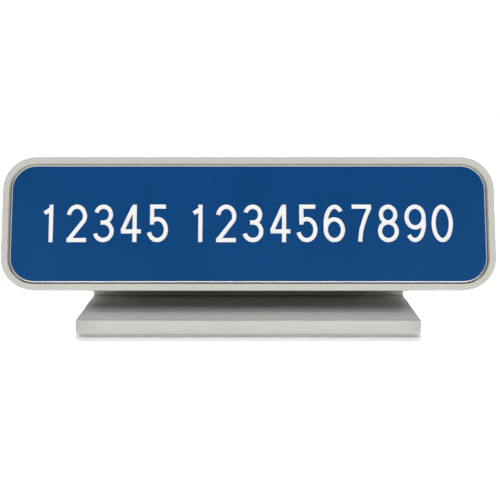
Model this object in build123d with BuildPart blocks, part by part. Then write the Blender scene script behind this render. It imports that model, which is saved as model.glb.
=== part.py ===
"""Desk name plate: a leaning frame with an engraving-laminate insert, hung on a two-piece stand."""
import os
from math import cos, radians, sin, tan

from build123d import *

os.makedirs("parts", exist_ok=True)

# How the sign stands: lean from upright, and its rim's bottom edge against the base
tilt = 18.0
sign_setback = 30.8
sign_lift = 4.8

# Insert: a standard 2 by 8 inch engraving plate, a thin cap over a thicker core
insert_width = 203.2
insert_height = 50.8
insert_corner = 10.8
core_thick = 1.3
cap_thick = 0.3
insert_bevel = 0.93

# Foam tape strips under the insert
tape_end_margin = 9.6
tape_width = 12.7
tape_thick = 0.8
tape_inset = 6.0

# Frame moulding
frame_depth = 12.7
frame_draft = 2.5
rim_width = 2.95
rim_proud = 1.0
rim_outer_round = 0.4
rim_inner_bevel = 0.15
insert_gap = 0.45
floor_thick = 2.0
skirt_wall = 2.2
rib_thick = 1.6
bay_count = 11

# Hanger studs on the upright and the T-slots that the frame hangs by
stud_bay = 3
stud_drop = 8.0
stud_head_diameter = 10.0
stud_head_thick = 2.0
stud_head_chamfer = 0.5
stud_neck_diameter = 5.0
stud_thread_diameter = 3.2
stud_thread_length = 6.0
stud_socket = 3.0
stud_socket_depth = 1.2
head_room = 1.0
slot_side_gap = 0.25
slot_seat_gap = 0.02
slot_length = 12.0
lip_thick = 2.0
lip_gap = 0.4
lip_crown = 4.0

# Upright
upright_thick = 3.2
upright_inset = 0.15
upright_top_margin = 11.0
upright_corner = 6.0
upright_edge_bevel = 0.3
slide_gap = 0.2
flange_depth = 17.0
flange_thick = 3.0
gusset_thick = 2.0
gusset_rise = 24.0
boss_wall = 2.0
boss_end = 1.2

# Base plate
base_width = 135.0
base_height = 5.4
base_corner = 1.0
base_edge_round = 0.35
base_wall = 2.4
base_top_wall = 2.2
base_back_margin = 1.0
base_bay_count = 7
base_row_count = 3

# Screws from below, and feet
screw_diameter = 2.9
screw_head_diameter = 5.6
screw_head_thick = 1.9
screw_head_bevel = 0.7
screw_length = 10.5
screw_clear = 0.15
pilot_clear = 0.05
blind_end = 0.6
foot_diameter = 10.0
foot_thick = 1.5
foot_proud = 0.4
foot_clear = 0.2
foot_edge_bevel = 0.3

# Levels and outlines that follow from those sizes
base_top = foot_proud + base_height
lean = radians(tilt)
frame_width = insert_width + 2 * (insert_gap + rim_width)
frame_height = insert_height + 2 * (insert_gap + rim_width)
frame_corner = insert_corner + insert_gap + rim_width
pocket_depth = rim_proud + cap_thick + core_thick + tape_thick
floor_back = pocket_depth + floor_thick
upright_front = frame_depth + slide_gap
upright_back = upright_front + upright_thick
upright_width = base_width - 2 * upright_inset
upright_top = frame_height - upright_top_margin

# The upright's foot on the base, measured back from the base's front edge
foot_rise = (upright_front * sin(lean) - sign_lift) / cos(lean)
upright_foot = sign_setback + foot_rise * sin(lean) + upright_front * cos(lean)
plate_foot_depth = upright_thick / cos(lean)
base_depth = upright_foot + plate_foot_depth + flange_depth + base_back_margin
base_front = -base_depth / 2
flange_back = base_front + base_depth - base_back_margin
screw_y = flange_back - flange_depth / 2

# The sign's own plane: x across, y up the lean, z out towards the reader
sign_y = base_front + sign_setback
sign_z = base_top + sign_lift
sign_face = Plane(origin=(0, sign_y, sign_z), x_dir=(1, 0, 0), z_dir=(0, -cos(lean), sin(lean)))
upright_face = sign_face.offset(-upright_front)
sign_middle = (0, frame_height / 2)


def side_point(up, back):
    """Y and Z of a point on the sign's side view, up the lean and behind the rim's face."""
    return (sign_y + up * sin(lean) + back * cos(lean), sign_z + up * cos(lean) - back * sin(lean))


# Frame: drafted outer skirt, open pocket in front, ribbed hollow and two hanger slots behind
draft_inset = frame_depth * tan(radians(frame_draft))
hollow_inset = draft_inset + skirt_wall
hollow_width = frame_width - 2 * hollow_inset
hollow_height = frame_height - 2 * hollow_inset
bay_pitch = (hollow_width + rib_thick) / bay_count
stud_x = stud_bay * bay_pitch
stud_up = upright_top - stud_drop
head_front = floor_back + head_room
head_back = head_front + stud_head_thick
lip_front = head_back + lip_gap
slot_width = stud_neck_diameter + 2 * slot_side_gap
slot_end = stud_up + stud_neck_diameter / 2 + slot_seat_gap - slot_width / 2
lip_bottom = stud_up - slot_length
lip_top = slot_end + slot_width / 2 + lip_crown

with BuildPart() as frame:
    with BuildSketch(sign_face):
        with Locations(sign_middle):
            RectangleRounded(frame_width, frame_height, frame_corner)
    extrude(amount=-frame_depth, taper=frame_draft)
    with BuildSketch(sign_face):
        with Locations(sign_middle):
            RectangleRounded(
                frame_width - 2 * rim_width,
                frame_height - 2 * rim_width,
                frame_corner - rim_width,
            )
    extrude(amount=-pocket_depth, mode=Mode.SUBTRACT)
    with BuildSketch(sign_face.offset(-frame_depth)):
        with Locations(sign_middle):
            RectangleRounded(hollow_width, hollow_height, frame_corner - hollow_inset)
            with GridLocations(bay_pitch, 0, bay_count - 1, 1):
                Rectangle(rib_thick, hollow_height, mode=Mode.SUBTRACT)
    extrude(amount=frame_depth - floor_back, mode=Mode.SUBTRACT)
    with BuildSketch(sign_face.offset(-lip_front - lip_thick)):
        with Locations((-stud_x, 0), (stud_x, 0)):
            with Locations((0, (lip_bottom + lip_top) / 2)):
                Rectangle(bay_pitch, lip_top - lip_bottom)
            with Locations((0, slot_end)):
                Circle(slot_width / 2, mode=Mode.SUBTRACT)
            with Locations((0, (lip_bottom + slot_end) / 2)):
                Rectangle(slot_width, slot_end - lip_bottom, mode=Mode.SUBTRACT)
    extrude(amount=lip_thick)
    rim = frame.faces().sort_by(Axis(sign_face.origin, sign_face.z_dir))[-1]
    fillet(rim.outer_wire().edges(), rim_outer_round)
    rim = frame.faces().sort_by(Axis(sign_face.origin, sign_face.z_dir))[-1]
    chamfer(rim.inner_wires()[0].edges(), rim_inner_bevel)
frame.part.label = "frame"
export_step(frame.part, "parts/frame.step")

# Tape strips: bedded on the pocket floor, along the insert's upper and lower edges
tape_length = insert_width - 2 * tape_end_margin
tape_rise = insert_height / 2 - tape_inset - tape_width / 2

with BuildPart() as tape_upper:
    with BuildSketch(sign_face.offset(-pocket_depth)):
        with Locations((0, frame_height / 2 + tape_rise)):
            Rectangle(tape_length, tape_width)
    extrude(amount=tape_thick)
tape_upper.part.label = "tape_upper"
export_step(tape_upper.part, "parts/tape_upper.step")

with BuildPart() as tape_lower:
    with BuildSketch(sign_face.offset(-pocket_depth)):
        with Locations((0, frame_height / 2 - tape_rise)):
            Rectangle(tape_length, tape_width)
    extrude(amount=tape_thick)
tape_lower.part.label = "tape_lower"
export_step(tape_lower.part, "parts/tape_lower.step")

# Insert core: the plate's white layer, its front edge bevelled down to an upright land
cap_inset = insert_bevel - cap_thick
cap_back = rim_proud + cap_thick

with BuildPart() as insert_core:
    with BuildSketch(sign_face.offset(-cap_back - core_thick)):
        with Locations(sign_middle):
            RectangleRounded(insert_width, insert_height, insert_corner)
    extrude(amount=core_thick)
    core_front = insert_core.faces().sort_by(Axis(sign_face.origin, sign_face.z_dir))[-1]
    chamfer(core_front.edges(), cap_inset)
insert_core.part.label = "insert_core"
export_step(insert_core.part, "parts/insert_core.step")

# Insert cap: the plate's coloured face layer, carrying on the same bevel
with BuildPart() as insert_cap:
    with BuildSketch(sign_face.offset(-cap_back)):
        with Locations(sign_middle):
            RectangleRounded(
                insert_width - 2 * cap_inset,
                insert_height - 2 * cap_inset,
                insert_corner - cap_inset,
            )
    extrude(amount=cap_thick, taper=45)
insert_cap.part.label = "insert_cap"
export_step(insert_cap.part, "parts/insert_cap.step")

# Base plate: a slab with a ribbed underside, foot recesses and screw holes under the upright
bay_width = (base_width - 2 * base_wall + rib_thick) / base_bay_count
row_depth = (base_depth - 2 * base_wall + rib_thick) / base_row_count
foot_x = bay_width * (base_bay_count - 1) / 2
foot_y = row_depth * (base_row_count - 1) / 2
screw_spots = [(-2 * bay_width, screw_y), (0, screw_y), (2 * bay_width, screw_y)]

with BuildPart() as base_plate:
    with BuildSketch(Plane.XY.offset(foot_proud)):
        RectangleRounded(base_width, base_depth, base_corner)
    extrude(amount=base_height)
    fillet(base_plate.faces().sort_by(Axis.Z)[-1].edges(), base_edge_round)
    with BuildSketch(Plane.XY.offset(foot_proud)):
        Rectangle(base_width - 2 * base_wall, base_depth - 2 * base_wall)
        with GridLocations(bay_width, 0, base_bay_count - 1, 1):
            Rectangle(rib_thick, base_depth, mode=Mode.SUBTRACT)
        with GridLocations(0, row_depth, 1, base_row_count - 1):
            Rectangle(base_width, rib_thick, mode=Mode.SUBTRACT)
        with GridLocations(2 * foot_x, 2 * foot_y, 2, 2):
            Circle(foot_diameter / 2 + foot_clear + rib_thick, mode=Mode.SUBTRACT)
    extrude(amount=base_height - base_top_wall, mode=Mode.SUBTRACT)
    with BuildSketch(Plane.XY.offset(foot_proud)):
        with GridLocations(2 * foot_x, 2 * foot_y, 2, 2):
            Circle(foot_diameter / 2 + foot_clear)
    extrude(amount=foot_thick - foot_proud, mode=Mode.SUBTRACT)
    with BuildSketch(Plane.XY.offset(base_top)):
        with Locations(*screw_spots):
            Circle(screw_diameter / 2 + screw_clear)
    extrude(amount=-base_top_wall, mode=Mode.SUBTRACT)
base_plate.part.label = "base_plate"
export_step(base_plate.part, "parts/base_plate.step")

# Upright: leaning plate with a foot flange, gussets, screw bosses and bosses for the studs
flange_front = base_front + upright_foot + plate_foot_depth / 2
screw_grip = screw_length - base_top_wall
stud_boss_length = stud_thread_length + blind_end + boss_end - upright_thick
gusset_planes = [Plane.YZ.offset((bay - 2.5) * bay_width) for bay in range(6)]

with BuildPart() as upright:
    with BuildSketch(upright_face) as plate_outline:
        with Locations((0, upright_top)):
            Rectangle(upright_width, 2 * upright_top, align=(Align.CENTER, Align.MAX))
        fillet(plate_outline.vertices().group_by(Axis.Y)[-1], upright_corner)
    extrude(amount=-upright_thick)
    plate_sides = upright.faces().sort_by(Axis(sign_face.origin, sign_face.z_dir))
    chamfer(plate_sides[0].edges() + plate_sides[-1].edges(), upright_edge_bevel)
    split(bisect_by=Plane.XY.offset(base_top), keep=Keep.TOP)
    with BuildSketch(Plane.XY.offset(base_top)):
        with Locations((0, (flange_front + flange_back) / 2)):
            Rectangle(upright_width, flange_back - flange_front)
    extrude(amount=flange_thick)
    with BuildSketch(*gusset_planes):
        with BuildLine():
            Polyline(
                (flange_front, base_top + flange_thick / 2),
                (flange_back, base_top + flange_thick / 2),
                side_point(gusset_rise, upright_back - upright_thick / 2),
                close=True,
            )
        make_face()
    extrude(amount=gusset_thick / 2, both=True)
    with BuildSketch(Plane.XY.offset(base_top)):
        with Locations(*screw_spots):
            Circle(screw_diameter / 2 + boss_wall)
    extrude(amount=screw_grip + blind_end + boss_end)
    with BuildSketch(upright_face.offset(-upright_thick / 2)):
        with Locations((-stud_x, stud_up), (stud_x, stud_up)):
            Circle(stud_thread_diameter / 2 + boss_wall)
    extrude(amount=-upright_thick / 2 - stud_boss_length)
    with BuildSketch(Plane.XY.offset(base_top)):
        with Locations(*screw_spots):
            Circle(screw_diameter / 2 + pilot_clear)
    extrude(amount=screw_grip + blind_end, mode=Mode.SUBTRACT)
    with BuildSketch(upright_face):
        with Locations((-stud_x, stud_up), (stud_x, stud_up)):
            Circle(stud_thread_diameter / 2 + pilot_clear)
    extrude(amount=-stud_thread_length - blind_end, mode=Mode.SUBTRACT)
upright.part.label = "upright"
export_step(upright.part, "parts/upright.step")

# Upright screws: bevelled heads under the base's top wall, shanks up into the upright's bosses
screw_seat = Plane.XY.offset(base_top - base_top_wall)

with BuildPart() as upright_screws:
    with BuildSketch(screw_seat):
        with Locations(*screw_spots):
            Circle(screw_head_diameter / 2)
    extrude(amount=-screw_head_thick)
    chamfer(upright_screws.faces().group_by(Axis.Z)[0].edges(), screw_head_bevel)
    with BuildSketch(screw_seat):
        with Locations(*screw_spots):
            Circle(screw_diameter / 2)
    extrude(amount=screw_length)
upright_screws.part.label = "upright_screws"
export_step(upright_screws.part, "parts/upright_screws.step")

# Hanger studs: a wide head, a plain neck that the slot rests on, and a thread into the upright
with BuildPart() as hanger_stud_left:
    with BuildSketch(sign_face.offset(-head_back)):
        with Locations((-stud_x, stud_up)):
            Circle(stud_head_diameter / 2)
    extrude(amount=stud_head_thick)
    head_face = hanger_stud_left.faces().sort_by(Axis(sign_face.origin, sign_face.z_dir))[-1]
    chamfer(head_face.edges(), stud_head_chamfer)
    with BuildSketch(sign_face.offset(-head_front)):
        with Locations((-stud_x, stud_up)):
            RegularPolygon(stud_socket / 2, 6, major_radius=False)
    extrude(amount=-stud_socket_depth, mode=Mode.SUBTRACT)
    with BuildSketch(sign_face.offset(-head_back)):
        with Locations((-stud_x, stud_up)):
            Circle(stud_neck_diameter / 2)
    extrude(amount=head_back - upright_front)
    with BuildSketch(upright_face):
        with Locations((-stud_x, stud_up)):
            Circle(stud_thread_diameter / 2)
    extrude(amount=-stud_thread_length)
hanger_stud_left.part.label = "hanger_stud_left"
export_step(hanger_stud_left.part, "parts/hanger_stud_left.step")

with BuildPart() as hanger_stud_right:
    mirror(hanger_stud_left.part, about=Plane.YZ)
hanger_stud_right.part.label = "hanger_stud_right"
export_step(hanger_stud_right.part, "parts/hanger_stud_right.step")

# Feet: round rubber pads, each let into its recess under the base
foot_spots = {
    "foot_front_left": (-foot_x, -foot_y),
    "foot_front_right": (foot_x, -foot_y),
    "foot_back_left": (-foot_x, foot_y),
    "foot_back_right": (foot_x, foot_y),
}

for foot_name, foot_spot in foot_spots.items():
    with BuildPart() as foot:
        with BuildSketch():
            with Locations(foot_spot):
                Circle(foot_diameter / 2)
        extrude(amount=foot_thick)
        chamfer(foot.faces().sort_by(Axis.Z)[0].edges(), foot_edge_bevel)
    foot.part.label = foot_name
    export_step(foot.part, f"parts/{foot_name}.step")
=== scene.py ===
from math import cos, pi, radians, sin

import bmesh
import bpy
from mathutils import Matrix, Vector


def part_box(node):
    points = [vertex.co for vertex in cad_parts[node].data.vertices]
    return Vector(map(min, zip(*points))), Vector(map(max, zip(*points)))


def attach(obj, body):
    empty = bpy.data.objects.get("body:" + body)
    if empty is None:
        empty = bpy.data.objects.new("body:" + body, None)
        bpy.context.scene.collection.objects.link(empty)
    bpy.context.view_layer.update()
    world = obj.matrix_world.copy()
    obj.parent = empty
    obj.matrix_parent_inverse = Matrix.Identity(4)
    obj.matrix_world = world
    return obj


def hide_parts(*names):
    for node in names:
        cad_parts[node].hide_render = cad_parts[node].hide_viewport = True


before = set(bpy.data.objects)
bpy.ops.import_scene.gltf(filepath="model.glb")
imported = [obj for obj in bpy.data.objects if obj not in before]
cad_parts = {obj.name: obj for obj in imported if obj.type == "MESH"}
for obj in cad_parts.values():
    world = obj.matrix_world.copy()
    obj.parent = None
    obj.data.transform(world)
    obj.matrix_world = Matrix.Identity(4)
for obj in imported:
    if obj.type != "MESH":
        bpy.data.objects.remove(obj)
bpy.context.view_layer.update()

# Base plate: an injection-moulded slab in warm light grey, satin on top and ribbed below.
# It is one shot of plastic, and everything else on the stand is fixed to it.


class Shade:
    """A socket in a material's nodes. Arithmetic on it adds Math nodes to the same material."""

    def __init__(self, tree, socket=None):
        self.tree = tree
        self.socket = socket

    def node(self, kind, settings=(), sockets=(), out=0):
        """Adds a node of this kind: its settings first, then each socket's value or link."""
        made = self.tree.nodes.new("ShaderNode" + kind)
        for name, value in dict(settings).items():
            if name == "stops":
                while len(made.color_ramp.elements) < len(value):
                    made.color_ramp.elements.new(1.0)
                for stop, (place, colour) in zip(made.color_ramp.elements, value):
                    stop.position = place
                    stop.color = (*colour, 1.0)
            else:
                setattr(made, name, value)
        for name, value in dict(sockets).items():
            if isinstance(value, Shade):
                self.tree.links.new(value.socket, made.inputs[name])
            else:
                made.inputs[name].default_value = value
        return Shade(self.tree, made.outputs[out] if made.outputs else None)

    def maths(self, operation, left, right):
        return self.node("Math", {"operation": operation}, {0: left, 1: right})

    def __add__(self, other):
        return self.maths("ADD", self, other)

    def __radd__(self, other):
        return self.maths("ADD", other, self)

    def __sub__(self, other):
        return self.maths("SUBTRACT", self, other)

    def __rsub__(self, other):
        return self.maths("SUBTRACT", other, self)

    def __mul__(self, other):
        return self.maths("MULTIPLY", self, other)

    def __rmul__(self, other):
        return self.maths("MULTIPLY", other, self)


def blank_material(name):
    """An empty material, and the shade that its nodes are added through."""
    material = bpy.data.materials.new(name)
    material.use_nodes = True
    material.node_tree.nodes.clear()
    return material, Shade(material.node_tree)


def dress(piece, material):
    """Puts one material on all of a piece's slots."""
    if not piece.material_slots:
        piece.data.materials.append(material)
    for slot in piece.material_slots:
        slot.material = material


grey_deep = (0.96, 0.96, 0.88)
grey_light = (1.04, 1.04, 0.95)


def moulded_grey(name, pale, dullness, spread, grain):
    """Light grey moulded plastic: faint flow mottling, pin-point specks and a fine satin grain."""
    material, shade = blank_material(name)
    place = shade.node("TexCoord", out="Object")
    flow = shade.node(
        "TexNoise", {}, {"Vector": place, "Scale": 38.0, "Detail": 3.0, "Roughness": 0.6}
    )
    specks = shade.node("TexNoise", {}, {"Vector": place, "Scale": 1900.0, "Detail": 2.0})
    deep, light = ([pale * part for part in tint] for tint in (grey_deep, grey_light))
    colour = shade.node(
        "ValToRGB",
        {"stops": [(0.3, deep), (0.7, light)]},
        {"Fac": flow * 0.7 + specks * 0.3},
    )
    pebble = shade.node("TexNoise", {}, {"Vector": place, "Scale": 2600.0, "Detail": 2.0})
    normal = shade.node("Bump", {}, {"Strength": grain, "Distance": 0.00003, "Height": pebble})
    skin = shade.node(
        "BsdfPrincipled",
        {},
        {
            "Base Color": colour,
            "Roughness": dullness + spread * flow,
            "Normal": normal,
            "IOR": 1.5,
        },
    )
    shade.node("OutputMaterial", {}, {"Surface": skin})
    return material


# Painted shade: this grey is set darker than the upright's and the frame's, though it is the same
# plastic, to tone down how bright the base's front renders.
base_grey = moulded_grey("base_grey", pale=0.525, dullness=0.04, spread=0.06, grain=0.03)
dress(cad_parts["base_plate"], base_grey)

# Feet: four round pads of soft black rubber, die-cut and pressed into the base's recesses.
# The cut face that stands on the desk is dull and slightly dusty.
foot_rubber, shade = blank_material("foot_rubber")
place = shade.node("TexCoord", out="Object")
dust = shade.node(
    "TexNoise", {}, {"Vector": place, "Scale": 420.0, "Detail": 4.0, "Roughness": 0.65}
)
black = shade.node(
    "ValToRGB",
    {"stops": [(0.35, (0.018, 0.018, 0.018)), (0.75, (0.055, 0.054, 0.051))]},
    {"Fac": dust},
)
crumb = shade.node("TexNoise", {}, {"Vector": place, "Scale": 3200.0, "Detail": 3.0})
normal = shade.node("Bump", {}, {"Strength": 0.4, "Distance": 0.00004, "Height": crumb})
pad = shade.node(
    "BsdfPrincipled",
    {},
    {"Base Color": black, "Roughness": 0.7 + 0.2 * dust, "Normal": normal},
)
shade.node("OutputMaterial", {}, {"Surface": pad})
for side in ("front_left", "front_right", "back_left", "back_right"):
    dress(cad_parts["foot_" + side], foot_rubber)

# Upright: a leaning moulded plate with a foot flange, gussets and bosses behind.
# It is the base's plastic, with a slightly duller grain where the tool was textured.
upright_grey = moulded_grey("upright_grey", pale=0.568, dullness=0.26, spread=0.16, grain=0.2)
dress(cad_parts["upright"], upright_grey)

# Upright screws: three zinc-plated thread-forming screws, driven up through the base.
# Their cold-headed heads sit between the ribs underneath, each with a tapered cross recess.
screw_head_radius = 0.0028
screw_head_thick = 0.0019
screw_head_bevel = 0.0007
screw_crest = 0.00145
screw_root = 0.00105
screw_pitch = 0.0011
screw_turns = 7
screw_shank = 0.0011
screw_run_out = 0.0097
cross_span = 0.0031
cross_slot = 0.0008
cross_depth = 0.0014
cross_narrowing = 0.45
cutter_overlap = 0.0002
spokes = 32
tip_taper = 0.9
thread_lead_in = 1.4


def threaded(solid, tip, axis, crest, root, pitch, turns, plain):
    """Adds a turned piece: a right-hand vee thread behind its tip, then plain rings.

    Each spoke of the thread starts a little nearer the tip than the spoke before it, so the
    seam after the last spoke joins each row to the row one turn, or two rows, further on.
    The plain rings are given as (radius, distance behind the tip).
    """
    side = axis.orthogonal().normalized()
    other = axis.cross(side)
    last = 2 * turns + 1
    columns = []
    for step in range(spokes):
        outward = side * cos(2 * pi * step / spokes) + other * sin(2 * pi * step / spokes)
        rows = [(tip_taper * root, 0.0)]
        for half in range(last):
            behind = pitch * (thread_lead_in + half / 2 - step / spokes)
            rows.append((crest if half % 2 else root, behind))
        rows += plain
        columns.append(
            [solid.verts.new(tip - axis * behind + outward * radius) for radius, behind in rows]
        )
    for here, there in zip(columns, columns[1:]):
        for row in range(len(here) - 1):
            solid.faces.new((here[row], there[row], there[row + 1], here[row + 1]))
    here, there = columns[-1], columns[0]
    solid.faces.new((here[0], there[0], there[1], here[3], here[2], here[1]))
    for row in range(3, last):
        solid.faces.new((here[row], there[row - 2], there[row - 1], here[row + 1]))
    solid.faces.new((here[last], *there[last - 2 : last + 2], here[last + 1]))
    for row in range(last + 1, len(here) - 1):
        solid.faces.new((here[row], there[row], there[row + 1], here[row + 1]))
    solid.faces.new([column[0] for column in columns])
    solid.faces.new([column[-1] for column in columns])
    bmesh.ops.triangulate(solid, faces=solid.faces)


def finished_mesh(solid, name):
    """The mesh of what was built, with its faces turned outward."""
    bmesh.ops.recalc_face_normals(solid, faces=solid.faces)
    mesh = bpy.data.meshes.new(name)
    solid.to_mesh(mesh)
    solid.free()
    return mesh


def set_out(name, data):
    """An object that holds this mesh, lamp or camera, put in the scene."""
    made = bpy.data.objects.new(name, data)
    bpy.context.scene.collection.objects.link(made)
    return made


def cut_away(mesh, cutter, name):
    """A piece with the cutter's closed solids taken out of it."""
    cutter_piece = set_out(name + "_cutter", finished_mesh(cutter, name + "_cutter"))
    piece = set_out(name, mesh)
    cut = piece.modifiers.new("cut", "BOOLEAN")
    cut.operation = "DIFFERENCE"
    cut.solver = "EXACT"
    cut.use_self = True
    cut.object = cutter_piece
    bpy.context.view_layer.update()
    cut_piece = piece.evaluated_get(bpy.context.evaluated_depsgraph_get())
    shape = bpy.data.meshes.new_from_object(cut_piece)
    piece.modifiers.clear()
    piece.data = shape
    bpy.data.objects.remove(cutter_piece)
    return piece


def smooth_turned(piece):
    """Shades a turned piece smooth round its curves, with its corners left sharp."""
    piece.data.shade_smooth()
    piece.data.set_sharp_from_angle(angle=radians(30))


screws_low, screws_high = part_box("upright_screws")
screw_spread = screws_high.x - screw_head_radius
screw_row = (screws_low.y + screws_high.y) / 2
screw_length = screws_high.z - screws_low.z
screw_rings = [
    (screw_shank, screw_run_out),
    (screw_shank, screw_length - screw_head_thick),
    (screw_head_radius, screw_length - screw_head_thick),
    (screw_head_radius, screw_length - screw_head_bevel),
    (screw_head_radius - screw_head_bevel, screw_length),
]
straight_up = Vector((0, 0, 1))
screws = bmesh.new()
crosses = bmesh.new()
for screw_place in (-screw_spread, 0.0, screw_spread):
    tip = Vector((screw_place, screw_row, screws_high.z))
    threaded(
        screws, tip, straight_up, screw_crest, screw_root, screw_pitch, screw_turns, screw_rings
    )
    for long_way, short_way in ((cross_span, cross_slot), (cross_slot, cross_span)):
        for corner in bmesh.ops.create_cube(crosses, size=1.0)["verts"]:
            deep = corner.co.z > 0
            narrow = cross_narrowing if deep else 1.0
            corner.co.x = screw_place + corner.co.x * long_way * narrow
            corner.co.y = screw_row + corner.co.y * short_way * narrow
            corner.co.z = screws_low.z + (cross_depth if deep else -cutter_overlap)
screw_name = "cross_recess_screws"
cross_screws = cut_away(finished_mesh(screws, screw_name), crosses, screw_name)
smooth_turned(cross_screws)

zinc_steel, shade = blank_material("zinc_steel")
place = shade.node("TexCoord", out="Object")
bloom = shade.node(
    "TexNoise", {}, {"Vector": place, "Scale": 700.0, "Detail": 4.0, "Roughness": 0.6}
)
plating = shade.node(
    "ValToRGB",
    {"stops": [(0.3, (0.50, 0.51, 0.52)), (0.7, (0.66, 0.66, 0.63))]},
    {"Fac": bloom},
)
turning = shade.node("TexNoise", {}, {"Vector": place, "Scale": 5200.0, "Detail": 2.0})
normal = shade.node("Bump", {}, {"Strength": 0.15, "Distance": 0.00002, "Height": turning})
metal = shade.node(
    "BsdfPrincipled",
    {},
    {"Base Color": plating, "Metallic": 1.0, "Roughness": 0.22 + 0.2 * bloom, "Normal": normal},
)
shade.node("OutputMaterial", {}, {"Surface": metal})
dress(cross_screws, zinc_steel)
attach(cross_screws, "stand")
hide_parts("upright_screws")

# Hanger studs: turned steel studs with a wide head and a plain neck, screwed into the upright.
# The frame's slots drop over them. Each is driven by a hex socket and plated like the screws.
lean = radians(18.0)
sign_up = Vector((0.0, sin(lean), cos(lean)))
sign_out = Vector((0.0, -cos(lean), sin(lean)))
stud_crest = 0.0016
stud_root = 0.00125
stud_pitch = 0.0008
stud_turns = 5
stud_shank = 0.0013
stud_run_out = 0.0055
stud_thread_length = 0.006
stud_neck_radius = 0.0025
stud_head_radius = 0.005
stud_head_thick = 0.002
stud_head_bevel = 0.0005
socket_radius = 0.0015 / cos(radians(30))
socket_depth = 0.0012
tip_flatness = 1e-5
for side in ("left", "right"):
    corners = [corner.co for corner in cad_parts["hanger_stud_" + side].data.vertices]
    tip_depth = min(corner.dot(sign_out) for corner in corners)
    stud_length = max(corner.dot(sign_out) for corner in corners) - tip_depth
    tip_ring = [corner for corner in corners if corner.dot(sign_out) < tip_depth + tip_flatness]
    tip_low, tip_high = (Vector(map(pick, zip(*tip_ring))) for pick in (min, max))
    tip = (tip_low + tip_high) / 2
    stud_rings = [
        (stud_shank, stud_run_out),
        (stud_shank, stud_thread_length),
        (stud_neck_radius, stud_thread_length),
        (stud_neck_radius, stud_length - stud_head_thick),
        (stud_head_radius, stud_length - stud_head_thick),
        (stud_head_radius, stud_length - stud_head_bevel),
        (stud_head_radius - stud_head_bevel, stud_length),
    ]
    turned = bmesh.new()
    threaded(turned, tip, -sign_out, stud_crest, stud_root, stud_pitch, stud_turns, stud_rings)
    head_place = Matrix.Translation(tip + sign_out * stud_length)
    socket = bmesh.new()
    bmesh.ops.create_cone(
        socket,
        cap_ends=True,
        segments=6,
        radius1=socket_radius,
        radius2=socket_radius,
        depth=2 * socket_depth,
        matrix=head_place @ sign_out.to_track_quat("Z", "Y").to_matrix().to_4x4(),
    )
    stud_name = "threaded_stud_" + side
    stud = cut_away(finished_mesh(turned, stud_name), socket, stud_name)
    smooth_turned(stud)
    dress(stud, zinc_steel)
    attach(stud, "stand")
    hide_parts("hanger_stud_" + side)

# Frame: the moulded surround with a rounded rim, a pocket in front and a ribbed hollow behind.
# Its show face is the same warm grey as the stand, with a soft satin grain.
frame_grey = moulded_grey("frame_grey", pale=0.575, dullness=0.3, spread=0.16, grain=0.2)
dress(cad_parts["frame"], frame_grey)

# Tape strips: two lengths of closed-cell foam tape that bed the insert on the pocket's floor.
# The foam is off-white with open cut cells at the surface.
foam_tape, shade = blank_material("foam_tape")
place = shade.node("TexCoord", out="Object")
cells = shade.node("TexVoronoi", {}, {"Vector": place, "Scale": 2200.0}, out="Distance")
cloud = shade.node("TexNoise", {}, {"Vector": place, "Scale": 90.0, "Detail": 3.0})
foam = shade.node(
    "ValToRGB",
    {"stops": [(0.2, (0.70, 0.69, 0.64)), (0.8, (0.82, 0.81, 0.77))]},
    {"Fac": 0.6 * cells + 0.4 * cloud},
)
normal = shade.node("Bump", {}, {"Strength": 0.5, "Distance": 0.0001, "Height": cells})
strip = shade.node(
    "BsdfPrincipled",
    {},
    {"Base Color": foam, "Roughness": 0.75 + 0.15 * cloud, "Normal": normal},
)
shade.node("OutputMaterial", {}, {"Surface": strip})
for side in ("upper", "lower"):
    dress(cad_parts["tape_" + side], foam_tape)

# Insert core: the white layer of a two-ply engraving sheet, bevelled round its front edge.
# It shows along that bevel and wherever the cap has been cut away.
laminate_core, shade = blank_material("laminate_core")
place = shade.node("TexCoord", out="Object")
cloud = shade.node("TexNoise", {}, {"Vector": place, "Scale": 120.0, "Detail": 3.0})
white = shade.node(
    "ValToRGB",
    {"stops": [(0.3, (0.90, 0.885, 0.875)), (0.7, (0.93, 0.92, 0.905))]},
    {"Fac": cloud},
)
tracks = shade.node("TexNoise", {}, {"Vector": place, "Scale": 3800.0, "Detail": 1.0})
normal = shade.node("Bump", {}, {"Strength": 0.15, "Distance": 0.00002, "Height": tracks})
ply = shade.node(
    "BsdfPrincipled",
    {},
    {"Base Color": white, "Roughness": 0.42 + 0.15 * cloud, "Normal": normal},
)
shade.node("OutputMaterial", {}, {"Surface": ply})
dress(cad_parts["insert_core"], laminate_core)

# Insert cap: the thin blue face layer of the sheet, with a fine satin texture.
# A row of plain digits is cut right through it, so that the white core shows.
digit_row = "12345 1234567890"
digit_width = 0.0092
digit_height = 0.0163
digit_pitch = 0.0115
word_gap = 0.0062
row_shift = -0.001
stroke = 0.0019
cut_reach = 0.001
arc_step = 10
ring_closure = 1e-6


def arc(across, up, wide, tall, start, stop):
    """Points along part of an ellipse, in a digit's box of 1 by 1, from one angle to another."""
    steps = round(abs(stop - start) / arc_step)
    turns = [radians(start + (stop - start) * step / steps) for step in range(steps + 1)]
    return [Vector((across + wide * cos(turn), up + tall * sin(turn))) for turn in turns]


def bar(*points):
    """A straight stroke between points in a digit's box of 1 by 1."""
    return [Vector(point) for point in points]


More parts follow.
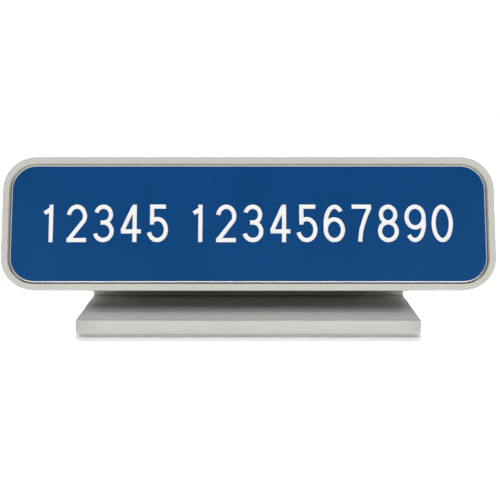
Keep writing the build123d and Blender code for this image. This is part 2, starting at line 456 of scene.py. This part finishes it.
def cut_stroke(solid, path, left):
    """Adds one stroke of constant width to the cutter, as a closed prism."""
    scale = Vector((digit_width - stroke, digit_height - stroke))
    spine = [Vector((left + stroke / 2, -scale.y / 2)) + scale * point for point in path]
    ring = (spine[0] - spine[-1]).length < ring_closure
    if ring:
        spine.pop()
    last = len(spine) - 1
    sections = []
    for step, point in enumerate(spine):
        ahead = spine[(step + 1) % len(spine)] if ring else spine[min(step + 1, last)]
        behind = spine[step - 1] if ring else spine[max(step - 1, 0)]
        aside = (ahead - behind).normalized().orthogonal() * stroke / 2
        corners = [(point + aside, -cut_reach), (point - aside, -cut_reach)]
        corners += [(point - aside, cut_reach), (point + aside, cut_reach)]
        sections.append([solid.verts.new((*place, depth)) for place, depth in corners])
    for here, there in zip(sections, sections[1:] + sections[:1] if ring else sections[1:]):
        for side in range(4):
            solid.faces.new((here[side - 1], here[side], there[side], there[side - 1]))
    if not ring:
        solid.faces.new(sections[0])
        solid.faces.new(sections[-1])


six = [
    arc(0.5, 0.31, 0.5, 0.31, 0, 360),
    bar((0.0, 0.31)) + arc(0.52, 0.5, 0.52, 0.5, 180, 45),
]
digit_strokes = {
    "0": [arc(0.5, 0.5, 0.5, 0.5, 0, 360)],
    "1": [bar((0.56, -0.065), (0.56, 1.065)), bar((0.16, 0.8), (0.56, 0.93))],
    "2": [
        arc(0.49, 0.71, 0.47, 0.29, 172, -25) + bar((0.06, 0.03)),
        bar((-0.1, 0.0), (1.06, 0.0)),
    ],
    "3": [
        arc(0.47, 0.76, 0.43, 0.24, 165, -90),
        arc(0.47, 0.265, 0.49, 0.265, 90, -165),
        bar((0.3, 0.525), (0.5, 0.525)),
    ],
    "4": [
        bar((0.72, -0.065), (0.72, 1.065)),
        bar((-0.08, 0.26), (1.1, 0.26)),
        bar((0.0, 0.27), (0.66, 1.0)),
    ],
    "5": [
        bar((0.03, 1.0), (0.98, 1.0)),
        bar((0.16, 0.46), (0.16, 1.066)),
        arc(0.47, 0.315, 0.5, 0.315, 128, -165),
    ],
    "6": six,
    "7": [
        bar((-0.06, 1.0), (1.1, 1.0)),
        bar((1.0, 0.99), (0.72, 0.66), (0.5, 0.3), (0.42, -0.05)),
    ],
    "8": [arc(0.5, 0.765, 0.42, 0.235, 0, 360), arc(0.5, 0.265, 0.49, 0.265, 0, 360)],
    "9": [[Vector((1.0, 1.0)) - point for point in path] for path in six],
}
digit_count = len(digit_row.replace(" ", ""))
row_length = (digit_count - 1) * digit_pitch + word_gap + digit_width
left = -row_length / 2 + row_shift
digits = bmesh.new()
for digit in digit_row:
    if digit == " ":
        left += word_gap
        continue
    for path in digit_strokes[digit]:
        cut_stroke(digits, path, left)
    left += digit_pitch
cap_low, cap_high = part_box("insert_cap")
cap_middle = (cap_low + cap_high) / 2
sign_axes = Matrix(((1, 0, 0), (0, sign_up.y, sign_out.y), (0, sign_up.z, sign_out.z)))
digits.transform(Matrix.Translation(cap_middle) @ sign_axes.to_4x4())
engraved_cap = cut_away(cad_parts["insert_cap"].data.copy(), digits, "engraved_cap")

laminate_cap, shade = blank_material("laminate_cap")
place = shade.node("TexCoord", out="Object")
cloud = shade.node("TexNoise", {}, {"Vector": place, "Scale": 30.0, "Detail": 3.0})
fleck = shade.node("TexNoise", {}, {"Vector": place, "Scale": 2400.0, "Detail": 2.0})
blue = shade.node(
    "ValToRGB",
    {"stops": [(0.3, (0.0018, 0.051, 0.178)), (0.7, (0.0028, 0.061, 0.207))]},
    {"Fac": 0.6 * cloud + 0.4 * fleck},
)
normal = shade.node("Bump", {}, {"Strength": 0.12, "Distance": 0.00002, "Height": fleck})
face = shade.node(
    "BsdfPrincipled",
    {},
    {
        "Base Color": blue,
        "Roughness": 0.34 + 0.12 * cloud,
        "Specular IOR Level": 0.16,
        "Normal": normal,
    },
)
shade.node("OutputMaterial", {}, {"Surface": face})
dress(engraved_cap, laminate_cap)
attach(engraved_cap, "insert")
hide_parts("insert_cap")

# Floor and backdrop: a pale sweep, flat under the sign and turned up at its rim.
# It is white to the camera. The soft shadow along the base is partly its real shadow and partly
# painted shade, where the lift to white is held back near the base, with a painted light line
# along the base's front edge. To bounced rays it glows instead of reflecting, as painted light:
# dimly all round, and white under the two ends of the frame that reach past the base.
floor_middle = 0.5
floor_radius = 2.0
sweep_rise = 0.5
sweep_top = 0.8
sweep_steps = 8
sweep_sides = 96
floor_colour = (0.92, 0.92, 0.92, 1.0)
base_front = 0.0321
base_end = 0.0643
front_shadow_reach = 1 / 60
end_shadow_reach = 1 / 220
overhang_start = 0.066
overhang_end = 0.115
behind_rim_start = -0.005
behind_rim_end = 0.045
glow_start = 0.25
glow_end = 0.7
wide_glow_strength = 0.1
end_glow_strength = 1.25

profile = [(0.0, 0.0), (floor_middle, 0.0), (floor_radius, 0.0)]
for step in range(1, sweep_steps + 1):
    turn = pi / 2 * step / sweep_steps
    profile.append((floor_radius + sweep_rise * sin(turn), sweep_rise * (1 - cos(turn))))
profile.append((floor_radius + sweep_rise, sweep_top))
sweep = bmesh.new()
spine = [sweep.verts.new((reach, 0.0, rise)) for reach, rise in profile]
edges = [sweep.edges.new(pair) for pair in zip(spine, spine[1:])]
bmesh.ops.spin(
    sweep,
    geom=spine + edges,
    cent=(0, 0, 0),
    axis=(0, 0, 1),
    angle=2 * pi,
    steps=sweep_sides,
    use_merge=True,
)
bmesh.ops.remove_doubles(sweep, verts=sweep.verts, dist=1e-5)
floor = set_out("floor_sweep", finished_mesh(sweep, "floor_sweep"))
floor.data.shade_smooth()
floor.visible_shadow = False


def grey_ramp(distance, start, end, levels):
    """Plain greys along a distance, each level with its share of the way from start to end."""
    share = (distance - start) * (1 / (end - start))
    stops = [(place, (level, level, level)) for place, level in levels]
    return distance.node("ValToRGB", {"stops": stops}, {"Fac": share})


def blended(way, one, other):
    """Two ramps' colours put together in one of the Mix node's ways."""
    settings = {"data_type": "RGBA", "blend_type": way}
    return one.node("Mix", settings, {0: 1.0, 6: one, 7: other}, out=2)


floor_white, shade = blank_material("floor_white")
place = shade.node("TexCoord", out="Object")
aside = shade.node("VectorMath", {"operation": "ABSOLUTE"}, {0: place})
sideways = shade.node("SeparateXYZ", {}, {0: aside}, out="X")
forward = shade.node("SeparateXYZ", {}, {0: aside}, out="Y")
backward = shade.node("SeparateXYZ", {}, {0: place}, out="Y")
outward = shade.node("VectorMath", {"operation": "LENGTH"}, {0: place}, out="Value")
# Painted shade and light: the lift to white is held low just in front of the base, so that its
# shadow shows there, and is raised again right at its front edge as a painted light line.
front_lift = grey_ramp(
    forward,
    base_front,
    base_front + front_shadow_reach,
    [(0.0, 0.3), (0.24, 0.03), (0.4, 0.02), (0.56, 0.16), (1.0, 1.0)],
)
# Painted shade: past the base's ends the lift to white comes back within a few millimetres.
end_lift = grey_ramp(
    sideways,
    base_end,
    base_end + end_shadow_reach,
    [(0.0, 0.0), (0.33, 0.1), (0.66, 0.4), (1.0, 1.0)],
)
paleness = blended("SCREEN", front_lift, end_lift)
lit = shade.node("BsdfDiffuse", {}, {"Color": floor_colour})
lift = shade.node("Emission", {}, {"Color": paleness, "Strength": 1.0})
pale = shade.node("AddShader", {}, {0: lit, 1: lift})
# Painted light: to bounced rays the floor glows instead of reflecting, dimly all round and white
# under the frame's two ends, where it lights the frame's skirt from below and so lightens the ends
# of the base's top that mirror it.
overhang = grey_ramp(
    sideways,
    overhang_start,
    overhang_end,
    [(0.0, 0.0), (0.06, 1.0), (0.8, 1.0), (1.0, 0.0)],
)
behind_rim = grey_ramp(
    backward,
    behind_rim_start,
    behind_rim_end,
    [(0.0, 0.0), (0.1, 1.0), (0.7, 1.0), (1.0, 0.0)],
)
under_ends = blended("MULTIPLY", overhang, behind_rim)
glow = grey_ramp(outward, glow_start, glow_end, [(0.0, 1.0), (1.0, 0.0)])
wide_glow = shade.node("Emission", {}, {"Color": glow, "Strength": wide_glow_strength})
end_glow = shade.node("Emission", {}, {"Color": under_ends, "Strength": end_glow_strength})
floor_glow = shade.node("AddShader", {}, {0: wide_glow, 1: end_glow})
seen = shade.node("LightPath", out="Is Camera Ray")
mirrored = shade.node("LightPath", out="Is Glossy Ray")
through = shade.node("LightPath", out="Is Transmission Ray")
surface = shade.node("MixShader", {}, {0: seen + mirrored + through, 1: floor_glow, 2: pale})
shade.node("OutputMaterial", {}, {"Surface": surface})
dress(floor, floor_white)

# Light: a softbox overhead and a little behind, whose light the sign keeps off the base's back.
# Two low soft lights in front, level with the table's edge, fill the upright faces alone. A
# card below each front corner of the table keeps them out of the recess under the sign.
softbox_length = 1.2
softbox_width = 0.35
softbox_power = 14.0
softbox_place = (-0.05, 0.542, 0.84)
front_lights = {"left": (1.95, -32), "right": (1.97, 32)}
front_slope = 5
front_spread = 4
card_near_side = 0.096
card_far_side = 0.132
card_back = -0.06
card_front = -0.092
card_level = -0.002
fill_strength = 0.02

softbox = bpy.data.lights.new("softbox", "AREA")
softbox.shape = "RECTANGLE"
softbox.size = softbox_length
softbox.size_y = softbox_width
softbox.energy = softbox_power
softbox_lamp = set_out("softbox", softbox)
softbox_lamp.location = softbox_place
softbox_lamp.rotation_euler = (-softbox_lamp.location).to_track_quat("-Z", "Y").to_euler()
for side, (strength, swing) in front_lights.items():
    front = bpy.data.lights.new("front_" + side, "SUN")
    front.energy = strength
    front.angle = radians(front_spread)
    front_lamp = set_out("front_" + side, front)
    front_lamp.rotation_euler = (radians(90 + front_slope), 0.0, radians(swing))
cards = bmesh.new()
for side in (-1, 1):
    corners = [(side * card_near_side, card_back), (side * card_far_side, card_back)]
    corners += [(side * card_far_side, card_front), (side * card_near_side, card_front)]
    cards.faces.new([cards.verts.new((*corner, card_level)) for corner in corners])
light_cards = set_out("light_cards", finished_mesh(cards, "light_cards"))
dress(light_cards, floor_white)
world = bpy.data.worlds.new("fill")
world.use_nodes = True
background = world.node_tree.nodes["Background"].inputs
background["Color"].default_value = (1.0, 1.0, 1.0, 1.0)
background["Strength"].default_value = fill_strength
bpy.context.scene.world = world

# Camera: a short telephoto straight in front of the sign and a little above it.
# It looks slightly down, so that a strip of the base's top shows under the frame.
camera_place = (0.00068, -0.38483, 0.09998)
camera_dip = 10.635
lens = bpy.data.cameras.new("camera")
lens.lens = 67.29
lens.sensor_width = 36.0
lens.clip_start = 0.01
camera = set_out("camera", lens)
camera.location = camera_place
camera.rotation_euler = (radians(90 - camera_dip), 0.0, 0.0)
bpy.context.scene.camera = camera
bpy.context.scene.view_settings.view_transform = "Standard"

bpy.context.view_layer.update()
